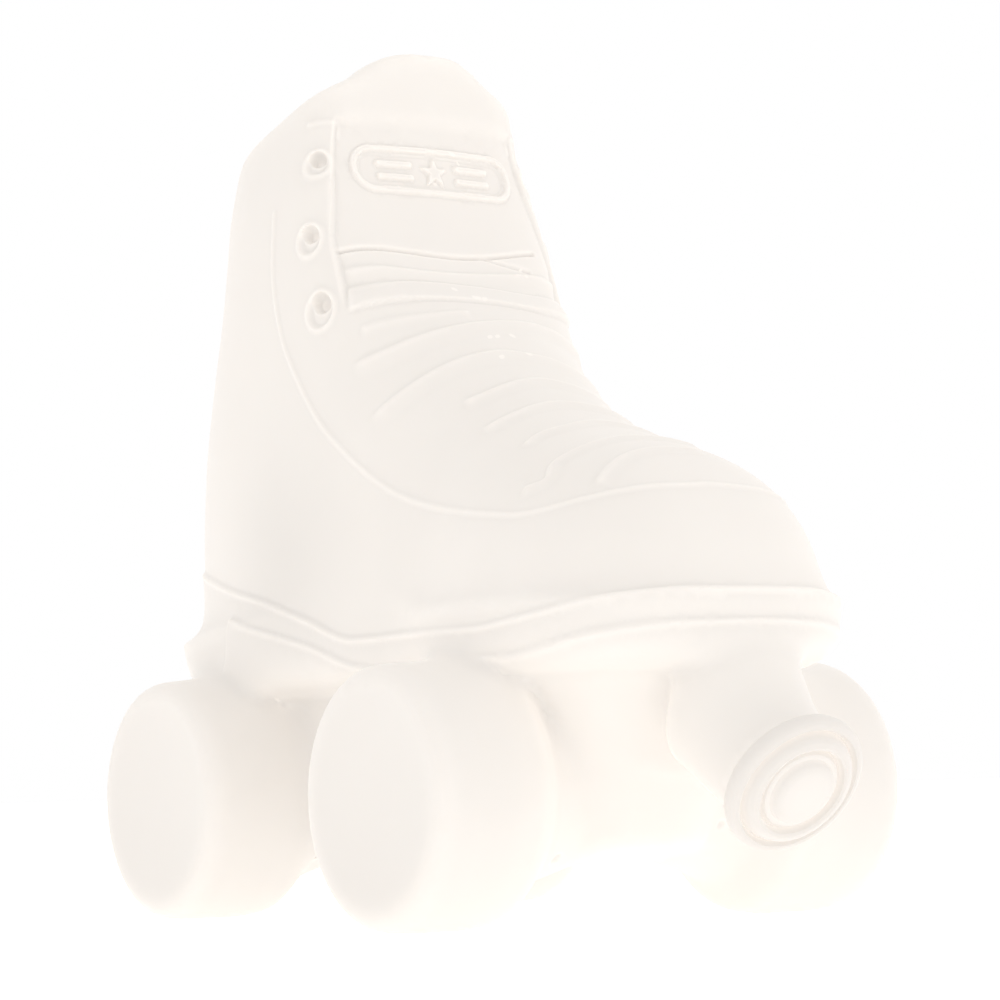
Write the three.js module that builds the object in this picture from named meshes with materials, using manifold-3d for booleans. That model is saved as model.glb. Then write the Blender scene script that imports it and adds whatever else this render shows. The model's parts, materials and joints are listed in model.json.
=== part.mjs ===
// Table lamp in the shape of a quad roller skate.
// A one-piece translucent shell stands on its four moulded wheels, and a rechargeable light
// module is screwed into an opening in its underside, between the two axles.
// Millimetres. +X points to the toe, +Z up, and Z = 0 is the surface that it stands on.
import * as THREE from 'three';
import { mergeVertices } from 'three/addons/utils/BufferGeometryUtils.js';
import Module from 'manifold-3d';

const wasm = await Module();
wasm.setup();

// ---------------------------------------------------------------- driving dimensions
const WALL = 2.6;
const GAP = 0.3;
const OVERCUT = 1;

const WHEEL_R = 30;
const WHEEL_SIDES = 24;
const REAR_AXLE_X = -74.6;
const FRONT_AXLE_X = 40.6;
const REAR_TRACK = 57.8;
const FRONT_TRACK = 64.5;

const SOLE_TOP = 70;
const SOLE_BOTTOM = 60.5;
const HEEL_X = -85;
const TOE_CENTRE = 57.1;
const TOE_LENGTH = 39.5;
const ROUNDNESS = 2.3;

const COLLAR_X = -85;
const COLLAR_Z = 195;
const COLLAR_SLOPE = 0.3;
const TONGUE_FOOT = 150;
const TONGUE_TOP = 217;
const TONGUE_HALF_WIDTH = 25;
const TONGUE_CORNER = 21;
const TONGUE_THICKNESS = 8.5;
const TONGUE_BOW = 0.012;

const BODY_BOTTOM = 16.5;
const BODY_HALF_WIDTH = 27;
const BODY_REAR_X = -67;
const BODY_FRONT_X = 33;
const TRUCK_TOP = 64.5;
const FRONT_TRUCK_X = 50;
const AXLE_BEAM_R = 13.5;
const AXLE_BEAM_HALF_LENGTH = 40;

const STOP_X = 108.4;
const STOP_Z = 31.8;
const STOP_TILT = THREE.MathUtils.degToRad(34);
const STOP_BOSS = { x: 93.5, z: 46.5, r: 15.5 };

const MODULE_X = -17;
const POCKET = { length: 81.6, width: 46, corner: 6, depth: 5.3 };
const HATCH = { length: 72, width: 36.4, corner: 8 };
const LEDGE = 2.6;
const SCREW_X = 36.6;
const SCREW_Y = 18.8;
const BOSS_R = 3.5;
const BOSS_TOP = 31;

const COVER_BOTTOM = 17.2;
const COVER_THICKNESS = 3;
const COVER_TOP = COVER_BOTTOM + COVER_THICKNESS;
const GASKET_BOTTOM = COVER_TOP + GAP;
const GASKET_THICKNESS = 1;

const BOARD_BOTTOM = 29.4;
const BOARD_THICKNESS = 1.6;
const BOARD_TOP = BOARD_BOTTOM + BOARD_THICKNESS;
const BOARD_LENGTH = 66;
const BOARD_WIDTH = 30;
const POST_X = 26.5;
const POST_Y = 9;

const BUTTON_X = -20;
const BUTTON_R = 4.5;
const PORT_X = 22;
const FLAP = { back: 17, length: 10, width: 14, thickness: 1 };

// ---------------------------------------------------------------- solids and meshes
function toSolid(geometry) {
  const bare = geometry.clone();
  bare.deleteAttribute('normal');
  bare.deleteAttribute('uv');
  const merged = mergeVertices(bare, 1e-4);
  const index = merged.index.array;
  const triangles = [];
  for (let i = 0; i < index.length; i += 3) {
    const [a, b, c] = [index[i], index[i + 1], index[i + 2]];
    if (a !== b && b !== c && c !== a) triangles.push(a, b, c);
  }
  return new wasm.Manifold(new wasm.Mesh({
    numProp: 3,
    vertProperties: new Float32Array(merged.attributes.position.array),
    triVerts: new Uint32Array(triangles),
  }));
}

function toGeometry(solid) {
  const mesh = solid.getMesh();
  const geometry = new THREE.BufferGeometry();
  geometry.setAttribute('position', new THREE.BufferAttribute(mesh.vertProperties, 3));
  geometry.setIndex(new THREE.BufferAttribute(mesh.triVerts, 1));
  geometry.computeVertexNormals();
  return geometry;
}

function join(solids) {
  return solids.reduce((sum, solid) => sum.add(solid));
}

function cut(solid, tools) {
  return tools.reduce((rest, tool) => rest.subtract(tool), solid);
}

// A value read off a smooth line through a few [position, value] points.
function follow(points, at) {
  const last = points.length - 1;
  if (at <= points[0][0]) return points[0][1];
  if (at >= points[last][0]) return points[last][1];
  let i = 0;
  while (at > points[i + 1][0]) i += 1;
  const [x0, v0] = points[i];
  const [x1, v1] = points[i + 1];
  const slope = (a, b) => (b[1] - a[1]) / (b[0] - a[0]);
  const middle = slope(points[i], points[i + 1]);
  const before = i > 0 ? slope(points[i - 1], points[i]) : middle;
  const after = i + 1 < last ? slope(points[i + 1], points[i + 2]) : middle;
  const tangent = (m, n) => (m * n <= 0 ? 0 : (2 * m * n) / (m + n));
  const t = (at - x0) / (x1 - x0);
  const m0 = tangent(before, middle) * (x1 - x0);
  const m1 = tangent(middle, after) * (x1 - x0);
  return (2 * t ** 3 - 3 * t ** 2 + 1) * v0 + (t ** 3 - 2 * t ** 2 + t) * m0
    + (3 * t ** 2 - 2 * t ** 3) * v1 + (t ** 3 - t ** 2) * m1;
}

// A cylinder whose rings are moved: place(t, side, rise) gives the point for the unit circle's
// (side, rise) at t = 0..1 along the loft.
function loft(sides, steps, place) {
  const geometry = new THREE.CylinderGeometry(1, 1, 1, sides, steps);
  const position = geometry.attributes.position;
  for (let i = 0; i < position.count; i += 1) {
    const point = place(position.getY(i) + 0.5, position.getX(i), position.getZ(i));
    position.setXYZ(i, ...point);
  }
  return toSolid(geometry);
}

// Scale that takes a unit circle's point onto a rounded square of the given power.
function squircle(side, rise, power) {
  const size = (Math.abs(side) ** power + Math.abs(rise) ** power) ** (1 / power);
  return size > 0 ? Math.hypot(side, rise) / size : 0;
}

function roundedRectangle(length, width, corner) {
  const shape = new THREE.Shape();
  const x = length / 2 - corner;
  const y = width / 2 - corner;
  shape.absarc(x, y, corner, 0, Math.PI / 2);
  shape.absarc(-x, y, corner, Math.PI / 2, Math.PI);
  shape.absarc(-x, -y, corner, Math.PI, 1.5 * Math.PI);
  shape.absarc(x, -y, corner, 1.5 * Math.PI, 2 * Math.PI);
  return shape;
}

function plate(length, width, corner, bottom, top, x = 0) {
  const shape = roundedRectangle(length, width, corner);
  const options = { depth: top - bottom, bevelEnabled: false, curveSegments: 3 };
  return toSolid(new THREE.ExtrudeGeometry(shape, options).translate(x, 0, bottom));
}

function block(lengths, x, y, bottom) {
  const geometry = new THREE.BoxGeometry(...lengths);
  return toSolid(geometry.translate(x, y, bottom + lengths[2] / 2));
}

function upright(radius, bottom, top, x = 0, y = 0, sides = 16) {
  const geometry = new THREE.CylinderGeometry(radius, radius, top - bottom, sides);
  return toSolid(geometry.rotateX(Math.PI / 2).translate(x, y, (bottom + top) / 2));
}

// A lathe round the Y axis, from [radius, y] points that start and end on the axis.
function turned(points, sides) {
  const outline = points.map(([radius, y]) => new THREE.Vector2(radius, y));
  return new THREE.LatheGeometry(outline, sides);
}

function corners(x, y) {
  return [[x, y], [-x, y], [-x, -y], [x, -y]];
}

// ---------------------------------------------------------------- skate shell
// Side views and plans, as [height, value] points for the shaft and trucks, [length, value] for the foot.
const SHAFT_BACK = [
  [60, -117], [90, -117.5], [115, -113.4], [135, -108.2], [155, -100.4], [175, -93.5], [200, -89],
];
const SHAFT_FRONT = [
  [60, 15], [90, 15], [115, 11], [135, 0], [155, -11], [175, -23], [195, -29.5], [215, -30.5],
];
const SHAFT_HALF_WIDTH = [
  [60, 37.5], [90, 38.4], [115, 39.2], [135, 37.8], [155, 36.8], [175, 36], [195, 32.2], [215, 29],
];
const SHAFT_SQUARENESS = [[60, 3.2], [120, 3.2], [150, 3.8], [175, 5], [215, 5.5]];
const TONGUE_FRONT = [[150, -14], [175, -25.5], [187, -28.2], [200, -28.2], [217, -27.4]];
const FOOT_HALF_WIDTH = [[-55, 35], [-20, 33], [15, 35.5], [50, 39], [75, 39], [100, 37]];
const FOOT_RISE = [[-35, 75], [-5, 73.5], [20, 56.8], [40, 46], [60, 40], [80, 35.6], [100, 25.3]];
const FRONT_TRUCK = {
  halfLength: [[16, 12], [27, 16], [42, 20], [53, 26], [60, 32]],
  halfWidth: [[16, 14], [27, 17], [42, 24], [53, 31], [60, 36]],
};
const REAR_TRUCK = {
  halfLength: [[16, 12], [27, 15], [42, 19], [53, 27], [60, 36]],
  halfWidth: [[16, 12], [27, 16], [42, 22], [53, 30], [60, 36]],
};
// Half section of a wheel, as [radius, depth from its outer face] points.
const WHEEL_PROFILE = [
  [13.5, 52], [17, 46], [21.5, 36.4], [29.2, 27.4], [30, 20], [30, 10], [29.6, 4], [26.5, 0],
];
const WHEEL_DISH = 1.4;
// Half section of the toe stop and its neck, as [radius, height along its axis] points.
const STOP_PROFILE = [
  [0, -20], [12.5, -20], [12.5, -3], [14.9, -2.6], [16, -0.6], [15.5, 1.2], [13.5, 1.4], [12.8, 1.1],
  [11.4, 3.3], [10, 3.2], [9.5, 2.1], [7.6, 2.8], [6.4, 4.4], [0, 4.9],
];

function shaft(inset) {
  const from = SOLE_BOTTOM + inset;
  const to = TONGUE_TOP + 4;
  const [sides, steps] = inset > 0 ? [16, 8] : [28, 12];
  const body = loft(sides, steps, (t, side, rise) => {
    const z = from + t * (to - from);
    const back = follow(SHAFT_BACK, z) + inset;
    const front = follow(SHAFT_FRONT, z) - inset;
    const half = follow(SHAFT_HALF_WIDTH, z) - inset;
    const scale = squircle(side, rise, side > 0 ? follow(SHAFT_SQUARENESS, z) : ROUNDNESS);
    return [(back + front) / 2 + side * scale * (front - back) / 2, -rise * scale * half, z];
  });
  const lid = new THREE.BoxGeometry(200, 100, 60).translate(0, 0, 30);
  lid.rotateY(-Math.atan(COLLAR_SLOPE)).translate(COLLAR_X, 0, COLLAR_Z - inset * 1.05);
  return body.subtract(toSolid(lid));
}

function foot(inset) {
  const tip = 0.985;
  const [sides, steps] = inset > 0 ? [16, 8] : [24, 13];
  return loft(sides, steps, (t, side, rise) => {
    const reach = TOE_CENTRE - HEEL_X + tip * TOE_LENGTH;
    const x = HEEL_X + Math.sin(t * Math.PI / 2) * reach;
    const nose = Math.max(0, (x - TOE_CENTRE) / TOE_LENGTH);
    const taper = (1 - nose ** ROUNDNESS) ** (1 / ROUNDNESS);
    const half = follow(FOOT_HALF_WIDTH, x) - inset;
    const height = rise > 0 ? follow(FOOT_RISE, x) - inset : SOLE_TOP - SOLE_BOTTOM - inset;
    const scale = squircle(side, rise, rise > 0 ? ROUNDNESS : 6);
    const depth = rise > 0 ? taper : taper ** 0.2;
    return [x - nose * inset, -side * scale * half * taper, SOLE_TOP + rise * scale * height * depth];
  });
}

function tongue() {
  const shape = new THREE.Shape();
  const corner = TONGUE_CORNER;
  const half = TONGUE_HALF_WIDTH;
  shape.moveTo(-half, TONGUE_FOOT);
  shape.lineTo(half, TONGUE_FOOT);
  shape.absarc(half - corner, TONGUE_TOP - corner, corner, 0, Math.PI / 2);
  shape.absarc(corner - half, TONGUE_TOP - corner, corner, Math.PI / 2, Math.PI);
  const options = { depth: TONGUE_THICKNESS, bevelEnabled: false, curveSegments: 6 };
  const geometry = new THREE.ExtrudeGeometry(shape, options);
  const position = geometry.attributes.position;
  for (let i = 0; i < position.count; i += 1) {
    const y = position.getX(i);
    const z = position.getY(i);
    const front = follow(TONGUE_FRONT, z) - TONGUE_BOW * y ** 2;
    position.setXYZ(i, front - TONGUE_THICKNESS + position.getZ(i), y, z);
  }
  return toSolid(geometry);
}

// One wheel with its outer face at y = side * track, and its inner flank running into the axle beam.
function wheel(axleX, track, side, inset) {
  const sides = inset > 0 ? WHEEL_SIDES / 2 : WHEEL_SIDES;
  const stretch = 1 / Math.cos(Math.PI / sides);
  const section = WHEEL_PROFILE.map(([radius, depth]) => (
    [radius * stretch - inset, Math.max(depth, inset + depth / 2)]
  ));
  const points = [[0, WHEEL_PROFILE[0][1]], ...section, [0, WHEEL_DISH + inset]];
  const geometry = turned(points.map(([radius, depth]) => [radius, track - depth]), sides);
  geometry.rotateY(Math.PI / sides);
  if (side < 0) geometry.rotateX(Math.PI);
  return toSolid(geometry.translate(axleX, 0, WHEEL_R));
}

function wheels(inset) {
  const places = [[REAR_AXLE_X, REAR_TRACK], [FRONT_AXLE_X, FRONT_TRACK]];
  return join(places.flatMap(([x, track]) => [-1, 1].map((side) => wheel(x, track, side, inset))));
}

// The bulged mass between two wheels, as wide as the sole above and narrow below.
function truck(x, shape, inset) {
  const from = BODY_BOTTOM + inset;
  return loft(20, 5, (t, side, rise) => {
    const z = from + t * (TRUCK_TOP - from);
    const scale = squircle(side, rise, 3);
    const halfLength = follow(shape.halfLength, z) - inset;
    const halfWidth = follow(shape.halfWidth, z) - inset;
    return [x + side * scale * halfLength, -rise * scale * halfWidth, z];
  });
}

function axleBeam(axleX, inset) {
  const radius = AXLE_BEAM_R - inset;
  const geometry = new THREE.CylinderGeometry(radius, radius, 2 * AXLE_BEAM_HALF_LENGTH, 16);
  return toSolid(geometry.translate(axleX, 0, WHEEL_R));
}

function underbody(inset) {
  const bottom = inset > 0 ? BODY_BOTTOM + POCKET.depth + LEDGE : BODY_BOTTOM;
  const length = BODY_FRONT_X - BODY_REAR_X - 2 * inset;
  const size = [length, 2 * (BODY_HALF_WIDTH - inset), SOLE_TOP - bottom];
  return join([
    truck(REAR_AXLE_X, REAR_TRUCK, inset),
    truck(FRONT_TRUCK_X, FRONT_TRUCK, inset),
    axleBeam(REAR_AXLE_X, inset),
    axleBeam(FRONT_AXLE_X, inset),
    block(size, (BODY_FRONT_X + BODY_REAR_X) / 2, 0, bottom),
  ]);
}

function toeStop() {
  const stop = turned(STOP_PROFILE, WHEEL_SIDES);
  stop.rotateZ(-Math.PI / 2).rotateY(STOP_TILT).translate(STOP_X, 0, STOP_Z);
  const boss = new THREE.SphereGeometry(STOP_BOSS.r, 20, 12).translate(STOP_BOSS.x, 0, STOP_BOSS.z);
  return toSolid(stop).add(toSolid(boss));
}

function skateShell() {
  const outside = join([foot(0), shaft(0), tongue(), underbody(0), wheels(0), toeStop()]);
  const inside = join([foot(WALL), shaft(WALL), underbody(WALL), wheels(WALL)]);
  const ledgeBottom = BODY_BOTTOM + POCKET.depth;
  const ledgeTop = ledgeBottom + LEDGE;
  const rim = plate(
    POCKET.length + 2 * WALL, POCKET.width + 2 * WALL, POCKET.corner + WALL, BODY_BOTTOM, ledgeTop, MODULE_X,
  );
  const places = corners(SCREW_X, SCREW_Y);
  const bosses = places.map(([x, y]) => upright(BOSS_R, ledgeTop - OVERCUT, BOSS_TOP, MODULE_X + x, y));
  const bores = places.map(([x, y]) => upright(1.5, BODY_BOTTOM, BOSS_TOP - OVERCUT, MODULE_X + x, y, 12));
  const pocketFrom = BODY_BOTTOM - OVERCUT;
  const pocket = plate(POCKET.length, POCKET.width, POCKET.corner, pocketFrom, ledgeBottom, MODULE_X);
  const hatch = plate(HATCH.length, HATCH.width, HATCH.corner, BODY_BOTTOM, ledgeTop + OVERCUT, MODULE_X);
  return cut(join([outside.subtract(inside), rim, ...bosses]), [pocket, hatch, ...bores]);
}

// ---------------------------------------------------------------- light module
const SKIRT_HEIGHT = 4;
const SKIRT_WALL = 1.6;
const POST_R = 2.5;
const SCREW_HEAD_R = 2.4;
const SCREW_SHANK_R = 1.15;
const SCREW_CLEARANCE_R = 1.5;
const FLAP_BOTTOM = 17.3;
const ANCHOR_X = FLAP.back - 4.5;

function baseCover() {
  const body = plate(POCKET.length - 0.8, POCKET.width - 0.8, POCKET.corner - 0.4, COVER_BOTTOM, COVER_TOP);
  const skirtTop = COVER_TOP + SKIRT_HEIGHT;
  const [skirtLength, skirtWidth] = [HATCH.length - 1, HATCH.width - 1];
  const [roomLength, roomWidth] = [skirtLength - 2 * SKIRT_WALL, skirtWidth - 2 * SKIRT_WALL];
  const skirt = plate(skirtLength, skirtWidth, HATCH.corner - 0.5, COVER_TOP - OVERCUT, skirtTop);
  const room = plate(roomLength, roomWidth, HATCH.corner - 2, COVER_TOP, skirtTop + OVERCUT);
  const post = ([x, y]) => upright(POST_R, COVER_TOP - OVERCUT, BOARD_BOTTOM - GAP, x, y, 14);
  const bore = ([x, y]) => upright(1, COVER_TOP + 2, BOARD_BOTTOM, x, y, 10);
  const under = COVER_BOTTOM - OVERCUT;
  const over = COVER_TOP + OVERCUT;
  const clearance = ([x, y]) => upright(SCREW_CLEARANCE_R, under, over, x, y, 12);
  const counterbore = ([x, y]) => upright(SCREW_HEAD_R + GAP, under, COVER_BOTTOM + 1.7, x, y, 16);
  const flapLength = FLAP.length + 8;
  const flapRoomX = FLAP.back + FLAP.length - flapLength / 2 + 0.4;
  const flapRoom = block([flapLength, FLAP.width + 0.8, 2.4], flapRoomX, 0, 16.2);
  const solid = join([body, skirt.subtract(room), ...corners(POST_X, POST_Y).map(post)]);
  return cut(solid, [
    ...corners(POST_X, POST_Y).map(bore),
    ...corners(SCREW_X, SCREW_Y).map(clearance),
    ...corners(SCREW_X, SCREW_Y).map(counterbore),
    upright(BUTTON_R + 0.4, under, over, BUTTON_X, 0, 24),
    block([4.4, 9.8, 5], PORT_X, 0, COVER_BOTTOM),
    block([2.4, 7.4, 4], ANCHOR_X, 0, COVER_BOTTOM),
    flapRoom,
  ]);
}

function baseGasket() {
  const top = GASKET_BOTTOM + GASKET_THICKNESS;
  const outside = plate(POCKET.length - 0.8, POCKET.width - 0.8, POCKET.corner - 0.4, GASKET_BOTTOM, top);
  const hole = plate(HATCH.length, HATCH.width, HATCH.corner, GASKET_BOTTOM - 1, top + 1);
  const clearances = corners(SCREW_X, SCREW_Y).map(([x, y]) => upright(1.6, 19, 23, x, y, 12));
  return cut(outside, [hole, ...clearances]);
}

// Cross-head screw with its head down (baseScrew) or up (boardScrew).
function baseScrew() {
  const head = upright(SCREW_HEAD_R, 17.4, 18.6, 0, 0, 16);
  const shank = upright(SCREW_SHANK_R, 18.5, 29, 0, 0, 10);
  const slot = [block([2.6, 0.6, 0.6], 0, 0, 17.2), block([0.6, 2.6, 0.6], 0, 0, 17.2)];
  return cut(head.add(shank), slot);
}

function boardScrew() {
  const headBottom = BOARD_TOP + GAP;
  const head = upright(1.7, headBottom, headBottom + 1.2, 0, 0, 14);
  const shank = upright(0.7, 23, headBottom + 0.1, 0, 0, 8);
  const slot = [block([2, 0.5, 0.5], 0, 0, headBottom + 0.8), block([0.5, 2, 0.5], 0, 0, headBottom + 0.8)];
  return cut(head.add(shank), slot);
}

function ledBoard() {
  const board = plate(BOARD_LENGTH, BOARD_WIDTH, 2, BOARD_BOTTOM, BOARD_TOP);
  return cut(board, corners(POST_X, POST_Y).map(([x, y]) => upright(1.1, 29, 32, x, y, 10)));
}

function led() {
  const body = block([5, 5, 1.6], 0, 0, BOARD_TOP + GAP);
  return body.subtract(upright(1.9, BOARD_TOP + 1.5, BOARD_TOP + 3, 0, 0, 16));
}

function diffuserDome() {
  const bottom = BOARD_TOP + GAP;
  const shape = (length, width, height, low) => loft(20, 5, (t, side, rise) => {
    const shrink = t < 1 / 3 ? 1 : Math.cos((t - 1 / 3) * 1.5 * 1.1);
    const scale = squircle(side, rise, 8) * shrink;
    return [side * scale * length / 2, -rise * scale * width / 2, low + t * height];
  });
  return shape(65.4, 29.4, 15, bottom).subtract(shape(62.6, 26.6, 14.8, bottom - 1.2));
}

function usbSocket() {
  const can = plate(3.4, 9, 1.5, 21.4, BOARD_BOTTOM - GAP);
  return can.subtract(plate(2.6, 8.2, 1.1, 21, 27.5)).add(block([0.7, 6, 6], 0, 0, 22));
}

function tactSwitch() {
  return block([6, 6, 3.1], 0, 0, BOARD_BOTTOM - GAP - 3.1).add(upright(1.7, 25.2, 26.5, 0, 0, 14));
}

function powerButton() {
  const cap = upright(BUTTON_R, COVER_BOTTOM - 0.2, 24.3, 0, 0, 24);
  const flange = upright(BUTTON_R + 1.3, COVER_TOP + GAP, COVER_TOP + 1.3, 0, 0, 24);
  const dish = upright(2.4, COVER_BOTTOM - 1, COVER_BOTTOM + 0.3, 0, 0, 20);
  return cap.add(flange).subtract(dish);
}

function portPlug() {
  const from = FLAP.back;
  const flapTop = FLAP_BOTTOM + FLAP.thickness;
  const flap = plate(FLAP.length, FLAP.width, 2, FLAP_BOTTOM, flapTop, from + FLAP.length / 2);
  const plug = plate(2.8, 8.4, 1.3, 18.2, 20.8, PORT_X);
  const lip = block([1.4, 5, 0.7], from + FLAP.length - 1.5, 0, 16.7);
  return join([flap, plug, lip]);
}

function plugAnchor() {
  const strapTop = FLAP_BOTTOM + FLAP.thickness;
  const strap = plate(6.8, FLAP.width, 1.5, FLAP_BOTTOM, strapTop, FLAP.back - GAP - 3.4);
  const stub = block([1.6, 6.6, 4], ANCHOR_X, 0, 18.2);
  const barb = block([2.8, 6.6, 1.2], ANCHOR_X, 0, COVER_TOP + 1.2);
  return join([strap, stub, barb]);
}

function batteryCell() {
  return plate(22.8, 27, 1.6, COVER_TOP + 1.2, COVER_TOP + 7.4, -0.8);
}

function foamPad() {
  return plate(18, 22, 1, COVER_TOP + GAP, COVER_TOP + 0.9, -0.8);
}

function batteryPlug() {
  return block([4, 6, 3], -16.5, 10.8, BOARD_BOTTOM - GAP - 3);
}

// Insulated lead from the cell's edge up into the plug's underside.
function batteryLead(cellY, plugY) {
  const path = new THREE.CatmullRomCurve3([
    new THREE.Vector3(-12.5, cellY, 23.4),
    new THREE.Vector3(-14.6, cellY, 23.2),
    new THREE.Vector3(-16.2, (cellY + plugY) / 2, 23.9),
    new THREE.Vector3(-16.5, plugY, 25.7),
  ]);
  const section = new THREE.Shape().absarc(0, 0, 0.55, 0, 2 * Math.PI);
  return toSolid(new THREE.ExtrudeGeometry(section, { steps: 9, curveSegments: 4, extrudePath: path }));
}

// ---------------------------------------------------------------- materials and assembly
function material(color, roughness, metalness = 0) {
  return new THREE.MeshStandardMaterial({ color, roughness, metalness });
}

const group = new THREE.Group();
const module = new THREE.Group();
module.position.x = MODULE_X;
group.add(module);

function add(parent, name, solid, color, roughness, metalness, x = 0, y = 0) {
  const mesh = new THREE.Mesh(toGeometry(solid), material(color, roughness, metalness));
  mesh.name = name;
  mesh.position.set(x, y, 0);
  parent.add(mesh);
}

add(group, 'skate_shell', skateShell(), 0xf6f1e9, 0.5, 0);
add(module, 'base_cover', baseCover(), 0xeeeae2, 0.55, 0);
add(module, 'base_gasket', baseGasket(), 0xd8d6d0, 0.8, 0);
corners(SCREW_X, SCREW_Y).forEach(([x, y], i) => {
  add(module, `base_screw_${i + 1}`, baseScrew(), 0xb8b8b8, 0.3, 1, x, y);
});
add(module, 'led_board', ledBoard(), 0xf2f2ee, 0.4, 0);
corners(POST_X, POST_Y).forEach(([x, y], i) => {
  add(module, `board_screw_${i + 1}`, boardScrew(), 0xb8b8b8, 0.3, 1, x, y);
});
[-21, -8, 8, 21].flatMap((x) => [[x, -7], [x, 7]]).forEach(([x, y], i) => {
  add(module, `led_${i + 1}`, led(), 0xf4f0d8, 0.3, 0, x, y);
});
add(module, 'driver_chip', block([6, 4.4, 1.3], 0, 0, BOARD_TOP + GAP), 0x202022, 0.45, 0);
add(module, 'charge_chip', block([4, 4, 1], 18, 9, BOARD_BOTTOM - GAP - 1), 0x202022, 0.45, 0);
add(module, 'diffuser_dome', diffuserDome(), 0xfbfaf6, 0.6, 0);
add(module, 'battery_cell', batteryCell(), 0x9fa6ad, 0.35, 0.6);
add(module, 'foam_pad', foamPad(), 0x2b2b2b, 0.95, 0);
add(module, 'battery_plug', batteryPlug(), 0xf0ede4, 0.5, 0);
add(module, 'battery_lead_red', batteryLead(7, 9.6), 0xc02020, 0.5, 0);
add(module, 'battery_lead_black', batteryLead(9.6, 12), 0x181818, 0.5, 0);
add(module, 'tact_switch', tactSwitch(), 0x303030, 0.5, 0, BUTTON_X);
add(module, 'power_button', powerButton(), 0xe4e1da, 0.7, 0, BUTTON_X);
add(module, 'usb_c_socket', usbSocket(), 0xc4c4c8, 0.25, 1, PORT_X);
add(module, 'port_plug', portPlug(), 0xe4e1da, 0.7, 0);
add(module, 'plug_anchor', plugAnchor(), 0xe4e1da, 0.7, 0);

export default group;
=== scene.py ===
import json
import math

import bmesh
import bpy
import numpy as np
from mathutils import Matrix, Vector

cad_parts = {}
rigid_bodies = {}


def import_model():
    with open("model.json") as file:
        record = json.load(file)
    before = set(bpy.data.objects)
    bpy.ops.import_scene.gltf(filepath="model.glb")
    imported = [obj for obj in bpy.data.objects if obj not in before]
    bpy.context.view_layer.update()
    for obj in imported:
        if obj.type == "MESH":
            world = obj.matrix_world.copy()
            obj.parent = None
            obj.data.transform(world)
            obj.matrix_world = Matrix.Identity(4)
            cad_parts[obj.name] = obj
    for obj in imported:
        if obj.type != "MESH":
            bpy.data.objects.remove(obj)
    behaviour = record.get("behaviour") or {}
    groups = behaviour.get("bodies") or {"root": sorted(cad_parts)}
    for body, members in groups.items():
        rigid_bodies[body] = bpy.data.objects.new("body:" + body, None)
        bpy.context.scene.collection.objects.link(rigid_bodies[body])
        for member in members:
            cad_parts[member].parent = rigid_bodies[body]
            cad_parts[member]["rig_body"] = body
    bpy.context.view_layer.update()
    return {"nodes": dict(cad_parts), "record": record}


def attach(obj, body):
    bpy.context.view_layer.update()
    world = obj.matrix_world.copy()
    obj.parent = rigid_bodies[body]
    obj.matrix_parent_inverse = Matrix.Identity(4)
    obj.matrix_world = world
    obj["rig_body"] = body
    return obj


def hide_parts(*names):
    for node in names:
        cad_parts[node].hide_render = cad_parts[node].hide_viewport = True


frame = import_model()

MM = 0.001

# ---------------------------------------------------------------- driving dimensions, millimetres
MESH_STEP = 1.8
CAVITY_STEP = 3.5
GRID_LOW = (-124, -70, -4)
GRID_HIGH = (120, 70, 224)
MERGE_DISTANCE = 0.06
WALL = 3.2

WHEEL_R = 30.0
REAR_AXLE_X = -74.6
FRONT_AXLE_X = 40.6
REAR_TRACK = 57.8
FRONT_TRACK = 64.5

SOLE_TOP = 70.0
SOLE_BOTTOM = 60.5
TOE_CENTRE = 57.1
TOE_LENGTH = 39.5

ROUNDNESS = 2.3

COLLAR_Z = 195.0
COLLAR_X = -85.0
COLLAR_SLOPE = 0.30
COLLAR_DISH = 3.5
TONGUE_TOP = 217.0
TONGUE_HALF_WIDTH = 25.0
TONGUE_CORNER = 21.0
TONGUE_THICKNESS = 8.5

STOP_CENTRE = np.array([109.6, 0.0, 31.0])
STOP_AXIS = np.array([0.829, 0.0, -0.559])
STOP_SCALE = 1.06
STOP_NECK_R = 14.2
STOP_BOSS_X, STOP_BOSS_Z, STOP_BOSS_R = 92.0, 47.0, 14.0

FRONT_TRUCK_X = 50.0
AXLE_BEAM_R = 13.5
AXLE_BEAM_HALF_LENGTH = 40.0

# Sizes of the fillets between the moulded masses.
BODY_BLEND = 14
STOP_BLEND = 18
TRUCK_BLEND = 6
EDGE_BLEND = 8

# Side view and plan of the boot, as (height or length, value) points.
SHAFT_BACK = [(60, -117), (90, -117.5), (115, -113.4), (135, -108.2), (155, -100.4), (175, -93.5), (200, -89)]
SHAFT_FRONT = [(60, 15), (90, 15), (115, 11), (135, 0), (155, -11), (175, -23), (195, -29.5), (215, -30.5)]
SHAFT_HALF_WIDTH = [
    (60, 37.5), (90, 38.4), (115, 39.2), (135, 37.8), (155, 36.8), (175, 36), (195, 32.2), (215, 29),
]
FRONT_SQUARENESS = [(60, 3.2), (120, 3.2), (150, 3.8), (175, 5.0), (215, 5.5)]
FOOT_HALF_WIDTH = [(-55, 35), (-20, 33), (15, 35.5), (50, 39), (75, 39), (100, 37)]
FOOT_RISE = [(-35, 75), (-5, 73.5), (20, 56.8), (40, 46), (60, 40), (80, 35.6), (100, 25.3)]
TONGUE_FRONT = [(150, -14), (175, -25.5), (187, -28.2), (200, -28.2), (217, -27.4)]
FRONT_TRUCK_LENGTH = [(16, 12), (27, 15.5), (40, 20), (50, 25.5), (58, 33), (64, 40), (70, 44)]
FRONT_TRUCK_WIDTH = [(16, 14), (27, 17.5), (40, 23), (50, 28.5), (58, 34), (64, 38), (70, 39)]
REAR_TRUCK_LENGTH = [(16, 12), (27, 15), (40, 19), (50, 24.5), (58, 33), (64, 39), (70, 42)]
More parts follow.
